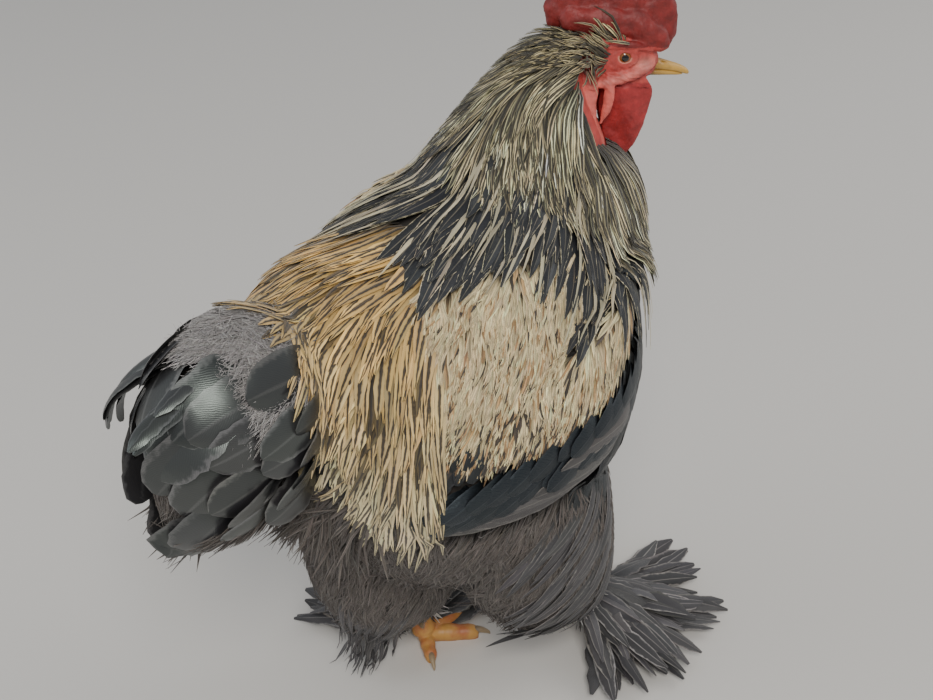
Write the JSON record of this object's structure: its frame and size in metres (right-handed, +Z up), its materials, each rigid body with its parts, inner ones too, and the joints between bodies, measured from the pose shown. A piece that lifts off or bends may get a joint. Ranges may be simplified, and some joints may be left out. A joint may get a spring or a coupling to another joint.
{
  "type": "brahma cock model",
  "caption": "Life-size still model of a Brahma cock, standing in mid step with its head turned to its right.",
  "frame": {"origin": "middle of the footprint of the whole bird, on the floor", "axes": "+Z up, +X the way the body faces, +Y its left side"},
  "size_m": [0.5862, 0.3872, 0.6745],
  "materials": {
    "body_feathers": "black and straw body feathers over grey down",
    "hackle_feathers": "cream neck feathers with dark centres",
    "face_skin": "bare red skin with fine grain",
    "comb_skin": "deep red, soft, finely grained",
    "beak_horn": "yellow horn, darker at the root",
    "eye": "clear, orange with a black pupil",
    "wing_feathers": "straw shoulder, black bar, grey quills",
    "tail_feathers": "black with a green sheen",
    "fluff_feathers": "soft taupe down",
    "scaly_leg": "yellow-orange scales, slate feathers outside",
    "claw_horn": "dull horn"
  },
  "bodies": {
    "root": {"torso": "body_feathers", "neck": "hackle_feathers", "head": "face_skin", "comb": "comb_skin", "wattle_left": "comb_skin", "wattle_right": "comb_skin", "ear_lobe_left": "comb_skin", "ear_lobe_right": "comb_skin", "beak_upper": "beak_horn", "beak_lower": "beak_horn", "eye_left": "eye", "eye_right": "eye", "wing_left": "wing_feathers", "wing_right": "wing_feathers", "tail": "tail_feathers", "thigh_left": "fluff_feathers", "thigh_right": "fluff_feathers", "foot_left": "scaly_leg", "foot_right": "scaly_leg", "claw_inner_left": "claw_horn", "claw_middle_left": "claw_horn", "claw_outer_left": "claw_horn", "claw_hind_left": "claw_horn", "claw_inner_right": "claw_horn", "claw_middle_right": "claw_horn", "claw_outer_right": "claw_horn", "claw_hind_right": "claw_horn", "spur_left": "claw_horn", "spur_right": "claw_horn"}
  },
  "joints": []
}
